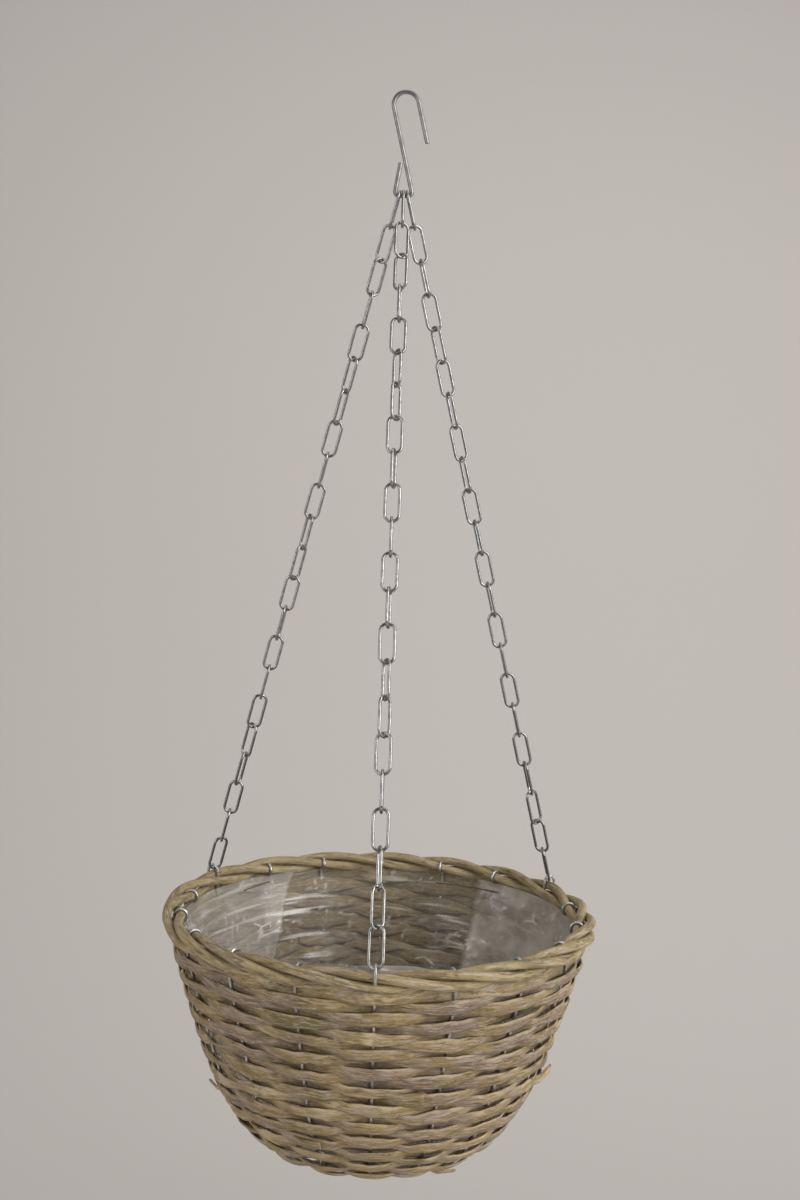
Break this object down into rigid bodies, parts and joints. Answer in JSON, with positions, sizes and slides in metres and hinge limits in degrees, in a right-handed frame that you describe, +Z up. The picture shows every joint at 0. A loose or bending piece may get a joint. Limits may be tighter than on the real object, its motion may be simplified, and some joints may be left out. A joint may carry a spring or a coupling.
{
  "type": "hanging basket",
  "caption": "Round hanging planter bowl woven from split willow over wire uprights, with a clear film liner, on three link chains gathered by a wire hook.",
  "frame": {"origin": "inside top of the hook's upper bend, where it rests on its nail", "axes": "+Z up; the front chain comes down towards -Y and the right-hand chain towards +X"},
  "size_m": [0.2998, 0.3004, 0.718],
  "materials": {
    "hook_zinc": "bright zinc plate",
    "chain_zinc": "bright zinc plate",
    "galvanised_wire": "dull galvanised",
    "willow_rod": "peeled whole willow, washed grey",
    "split_willow": "split willow, washed grey",
    "clear_film": "clear polythene film"
  },
  "bodies": {
    "hook": {"s_hook": "hook_zinc"},
    "basket": {"woven_wall": "split_willow", "woven_heel": "split_willow", "woven_base": "split_willow", "film_liner": "clear_film", "upright_wires": "galvanised_wire", "rim_rod_1": "willow_rod", "rim_rod_2": "willow_rod", "rim_rod_3": "willow_rod", "front_chain_upright": "galvanised_wire", "right_chain_upright": "galvanised_wire", "left_chain_upright": "galvanised_wire", "front_link_01": "chain_zinc", "right_link_01": "chain_zinc", "left_link_01": "chain_zinc"},
    "front_links_02_03": {"front_links_02_03": "chain_zinc"},
    "front_links_04_05": {"front_links_04_05": "chain_zinc"},
    "front_links_06_07": {"front_links_06_07": "chain_zinc"},
    "front_links_08_09": {"front_links_08_09": "chain_zinc"},
    "front_links_10_11": {"front_links_10_11": "chain_zinc"},
    "front_links_12_13": {"front_links_12_13": "chain_zinc"},
    "front_links_14_15": {"front_links_14_15": "chain_zinc"},
    "front_links_16_17": {"front_links_16_17": "chain_zinc"},
    "front_links_18_19": {"front_links_18_19": "chain_zinc"},
    "front_links_20_21": {"front_links_20_21": "chain_zinc"},
    "front_link_22": {"front_link_22": "chain_zinc"},
    "right_links_02_03": {"right_links_02_03": "chain_zinc"},
    "right_links_04_05": {"right_links_04_05": "chain_zinc"},
    "right_links_06_07": {"right_links_06_07": "chain_zinc"},
    "right_links_08_09": {"right_links_08_09": "chain_zinc"},
    "right_links_10_11": {"right_links_10_11": "chain_zinc"},
    "right_links_12_13": {"right_links_12_13": "chain_zinc"},
    "right_links_14_15": {"right_links_14_15": "chain_zinc"},
    "right_links_16_17": {"right_links_16_17": "chain_zinc"},
    "right_links_18_19": {"right_links_18_19": "chain_zinc"},
    "right_links_20_21": {"right_links_20_21": "chain_zinc"},
    "right_link_22": {"right_link_22": "chain_zinc"},
    "left_links_02_03": {"left_links_02_03": "chain_zinc"},
    "left_links_04_05": {"left_links_04_05": "chain_zinc"},
    "left_links_06_07": {"left_links_06_07": "chain_zinc"},
    "left_links_08_09": {"left_links_08_09": "chain_zinc"},
    "left_links_10_11": {"left_links_10_11": "chain_zinc"},
    "left_links_12_13": {"left_links_12_13": "chain_zinc"},
    "left_links_14_15": {"left_links_14_15": "chain_zinc"},
    "left_links_16_17": {"left_links_16_17": "chain_zinc"},
    "left_links_18_19": {"left_links_18_19": "chain_zinc"},
    "left_links_20_21": {"left_links_20_21": "chain_zinc"},
    "left_link_22": {"left_link_22": "chain_zinc"}
  },
  "joints": [
    {"name": "basket_swing", "type": "hinge", "parent": "hook", "child": "basket", "pos_m": [0, 0, -0.0675], "axis": [1, 0, 0], "range_deg": [-30, 30]},
    {"name": "front_links_02_03_turn", "type": "hinge", "parent": "basket", "child": "front_links_02_03", "pos_m": [0, -0.01273, -0.10998], "axis": [0, -0.2871, -0.9579], "range_deg": [-15, 15]},
    {"name": "front_links_04_05_turn", "type": "hinge", "parent": "basket", "child": "front_links_04_05", "pos_m": [0, -0.02594, -0.15405], "axis": [0, -0.2871, -0.9579], "range_deg": [-15, 15]},
    {"name": "front_links_06_07_turn", "type": "hinge", "parent": "basket", "child": "front_links_06_07", "pos_m": [0, -0.03914, -0.19811], "axis": [0, -0.2871, -0.9579], "range_deg": [-15, 15]},
    {"name": "front_links_08_09_turn", "type": "hinge", "parent": "basket", "child": "front_links_08_09", "pos_m": [0, -0.05235, -0.24218], "axis": [0, -0.2871, -0.9579], "range_deg": [-15, 15]},
    {"name": "front_links_10_11_turn", "type": "hinge", "parent": "basket", "child": "front_links_10_11", "pos_m": [0, -0.06555, -0.28624], "axis": [0, -0.2871, -0.9579], "range_deg": [-15, 15]},
    {"name": "front_links_12_13_turn", "type": "hinge", "parent": "basket", "child": "front_links_12_13", "pos_m": [0, -0.07876, -0.3303], "axis": [0, -0.2871, -0.9579], "range_deg": [-15, 15]},
    {"name": "front_links_14_15_turn", "type": "hinge", "parent": "basket", "child": "front_links_14_15", "pos_m": [0, -0.09196, -0.37437], "axis": [0, -0.2871, -0.9579], "range_deg": [-15, 15]},
    {"name": "front_links_16_17_turn", "type": "hinge", "parent": "basket", "child": "front_links_16_17", "pos_m": [0, -0.10517, -0.41843], "axis": [0, -0.2871, -0.9579], "range_deg": [-15, 15]},
    {"name": "front_links_18_19_turn", "type": "hinge", "parent": "basket", "child": "front_links_18_19", "pos_m": [0, -0.11837, -0.46249], "axis": [0, -0.2871, -0.9579], "range_deg": [-15, 15]},
    {"name": "front_links_20_21_turn", "type": "hinge", "parent": "basket", "child": "front_links_20_21", "pos_m": [0, -0.13158, -0.50656], "axis": [0, -0.2871, -0.9579], "range_deg": [-15, 15]},
    {"name": "front_link_22_turn", "type": "hinge", "parent": "basket", "child": "front_link_22", "pos_m": [0, -0.14148, -0.53961], "axis": [0, -0.2871, -0.9579], "range_deg": [-15, 15]},
    {"name": "right_links_02_03_turn", "type": "hinge", "parent": "basket", "child": "right_links_02_03", "pos_m": [0.01372, 0.00637, -0.10999], "axis": [0.2431, 0.1437, -0.9593], "range_deg": [-15, 15]},
    {"name": "right_links_04_05_turn", "type": "hinge", "parent": "basket", "child": "right_links_04_05", "pos_m": [0.02489, 0.01297, -0.15405], "axis": [0.2431, 0.1437, -0.9593], "range_deg": [-15, 15]},
    {"name": "right_links_06_07_turn", "type": "hinge", "parent": "basket", "child": "right_links_06_07", "pos_m": [0.03606, 0.01957, -0.19812], "axis": [0.2431, 0.1437, -0.9593], "range_deg": [-15, 15]},
    {"name": "right_links_08_09_turn", "type": "hinge", "parent": "basket", "child": "right_links_08_09", "pos_m": [0.04723, 0.02617, -0.24218], "axis": [0.2431, 0.1437, -0.9593], "range_deg": [-15, 15]},
    {"name": "right_links_10_11_turn", "type": "hinge", "parent": "basket", "child": "right_links_10_11", "pos_m": [0.05839, 0.03277, -0.28624], "axis": [0.2431, 0.1437, -0.9593], "range_deg": [-15, 15]},
    {"name": "right_links_12_13_turn", "type": "hinge", "parent": "basket", "child": "right_links_12_13", "pos_m": [0.06956, 0.03938, -0.3303], "axis": [0.2431, 0.1437, -0.9593], "range_deg": [-15, 15]},
    {"name": "right_links_14_15_turn", "type": "hinge", "parent": "basket", "child": "right_links_14_15", "pos_m": [0.08073, 0.04598, -0.37436], "axis": [0.2431, 0.1437, -0.9593], "range_deg": [-15, 15]},
    {"name": "right_links_16_17_turn", "type": "hinge", "parent": "basket", "child": "right_links_16_17", "pos_m": [0.0919, 0.05258, -0.41842], "axis": [0.2431, 0.1437, -0.9593], "range_deg": [-15, 15]},
    {"name": "right_links_18_19_turn", "type": "hinge", "parent": "basket", "child": "right_links_18_19", "pos_m": [0.10306, 0.05918, -0.46248], "axis": [0.2431, 0.1437, -0.9593], "range_deg": [-15, 15]},
    {"name": "right_links_20_21_turn", "type": "hinge", "parent": "basket", "child": "right_links_20_21", "pos_m": [0.11423, 0.06579, -0.50654], "axis": [0.2431, 0.1437, -0.9593], "range_deg": [-15, 15]},
    {"name": "right_link_22_turn", "type": "hinge", "parent": "basket", "child": "right_link_22", "pos_m": [0.12261, 0.07074, -0.53959], "axis": [0.2431, 0.1437, -0.9593], "range_deg": [-15, 15]},
    {"name": "left_links_02_03_turn", "type": "hinge", "parent": "basket", "child": "left_links_02_03", "pos_m": [-0.01372, 0.00637, -0.10999], "axis": [-0.2431, 0.1437, -0.9593], "range_deg": [-15, 15]},
    {"name": "left_links_04_05_turn", "type": "hinge", "parent": "basket", "child": "left_links_04_05", "pos_m": [-0.02489, 0.01297, -0.15405], "axis": [-0.2431, 0.1437, -0.9593], "range_deg": [-15, 15]},
    {"name": "left_links_06_07_turn", "type": "hinge", "parent": "basket", "child": "left_links_06_07", "pos_m": [-0.03606, 0.01957, -0.19812], "axis": [-0.2431, 0.1437, -0.9593], "range_deg": [-15, 15]},
    {"name": "left_links_08_09_turn", "type": "hinge", "parent": "basket", "child": "left_links_08_09", "pos_m": [-0.04723, 0.02617, -0.24218], "axis": [-0.2431, 0.1437, -0.9593], "range_deg": [-15, 15]},
    {"name": "left_links_10_11_turn", "type": "hinge", "parent": "basket", "child": "left_links_10_11", "pos_m": [-0.05839, 0.03277, -0.28624], "axis": [-0.2431, 0.1437, -0.9593], "range_deg": [-15, 15]},
    {"name": "left_links_12_13_turn", "type": "hinge", "parent": "basket", "child": "left_links_12_13", "pos_m": [-0.06956, 0.03938, -0.3303], "axis": [-0.2431, 0.1437, -0.9593], "range_deg": [-15, 15]},
    {"name": "left_links_14_15_turn", "type": "hinge", "parent": "basket", "child": "left_links_14_15", "pos_m": [-0.08073, 0.04598, -0.37436], "axis": [-0.2431, 0.1437, -0.9593], "range_deg": [-15, 15]},
    {"name": "left_links_16_17_turn", "type": "hinge", "parent": "basket", "child": "left_links_16_17", "pos_m": [-0.0919, 0.05258, -0.41842], "axis": [-0.2431, 0.1437, -0.9593], "range_deg": [-15, 15]},
    {"name": "left_links_18_19_turn", "type": "hinge", "parent": "basket", "child": "left_links_18_19", "pos_m": [-0.10306, 0.05918, -0.46248], "axis": [-0.2431, 0.1437, -0.9593], "range_deg": [-15, 15]},
    {"name": "left_links_20_21_turn", "type": "hinge", "parent": "basket", "child": "left_links_20_21", "pos_m": [-0.11423, 0.06579, -0.50654], "axis": [-0.2431, 0.1437, -0.9593], "range_deg": [-15, 15]},
    {"name": "left_link_22_turn", "type": "hinge", "parent": "basket", "child": "left_link_22", "pos_m": [-0.12261, 0.07074, -0.53959], "axis": [-0.2431, 0.1437, -0.9593], "range_deg": [-15, 15]}
  ]
}
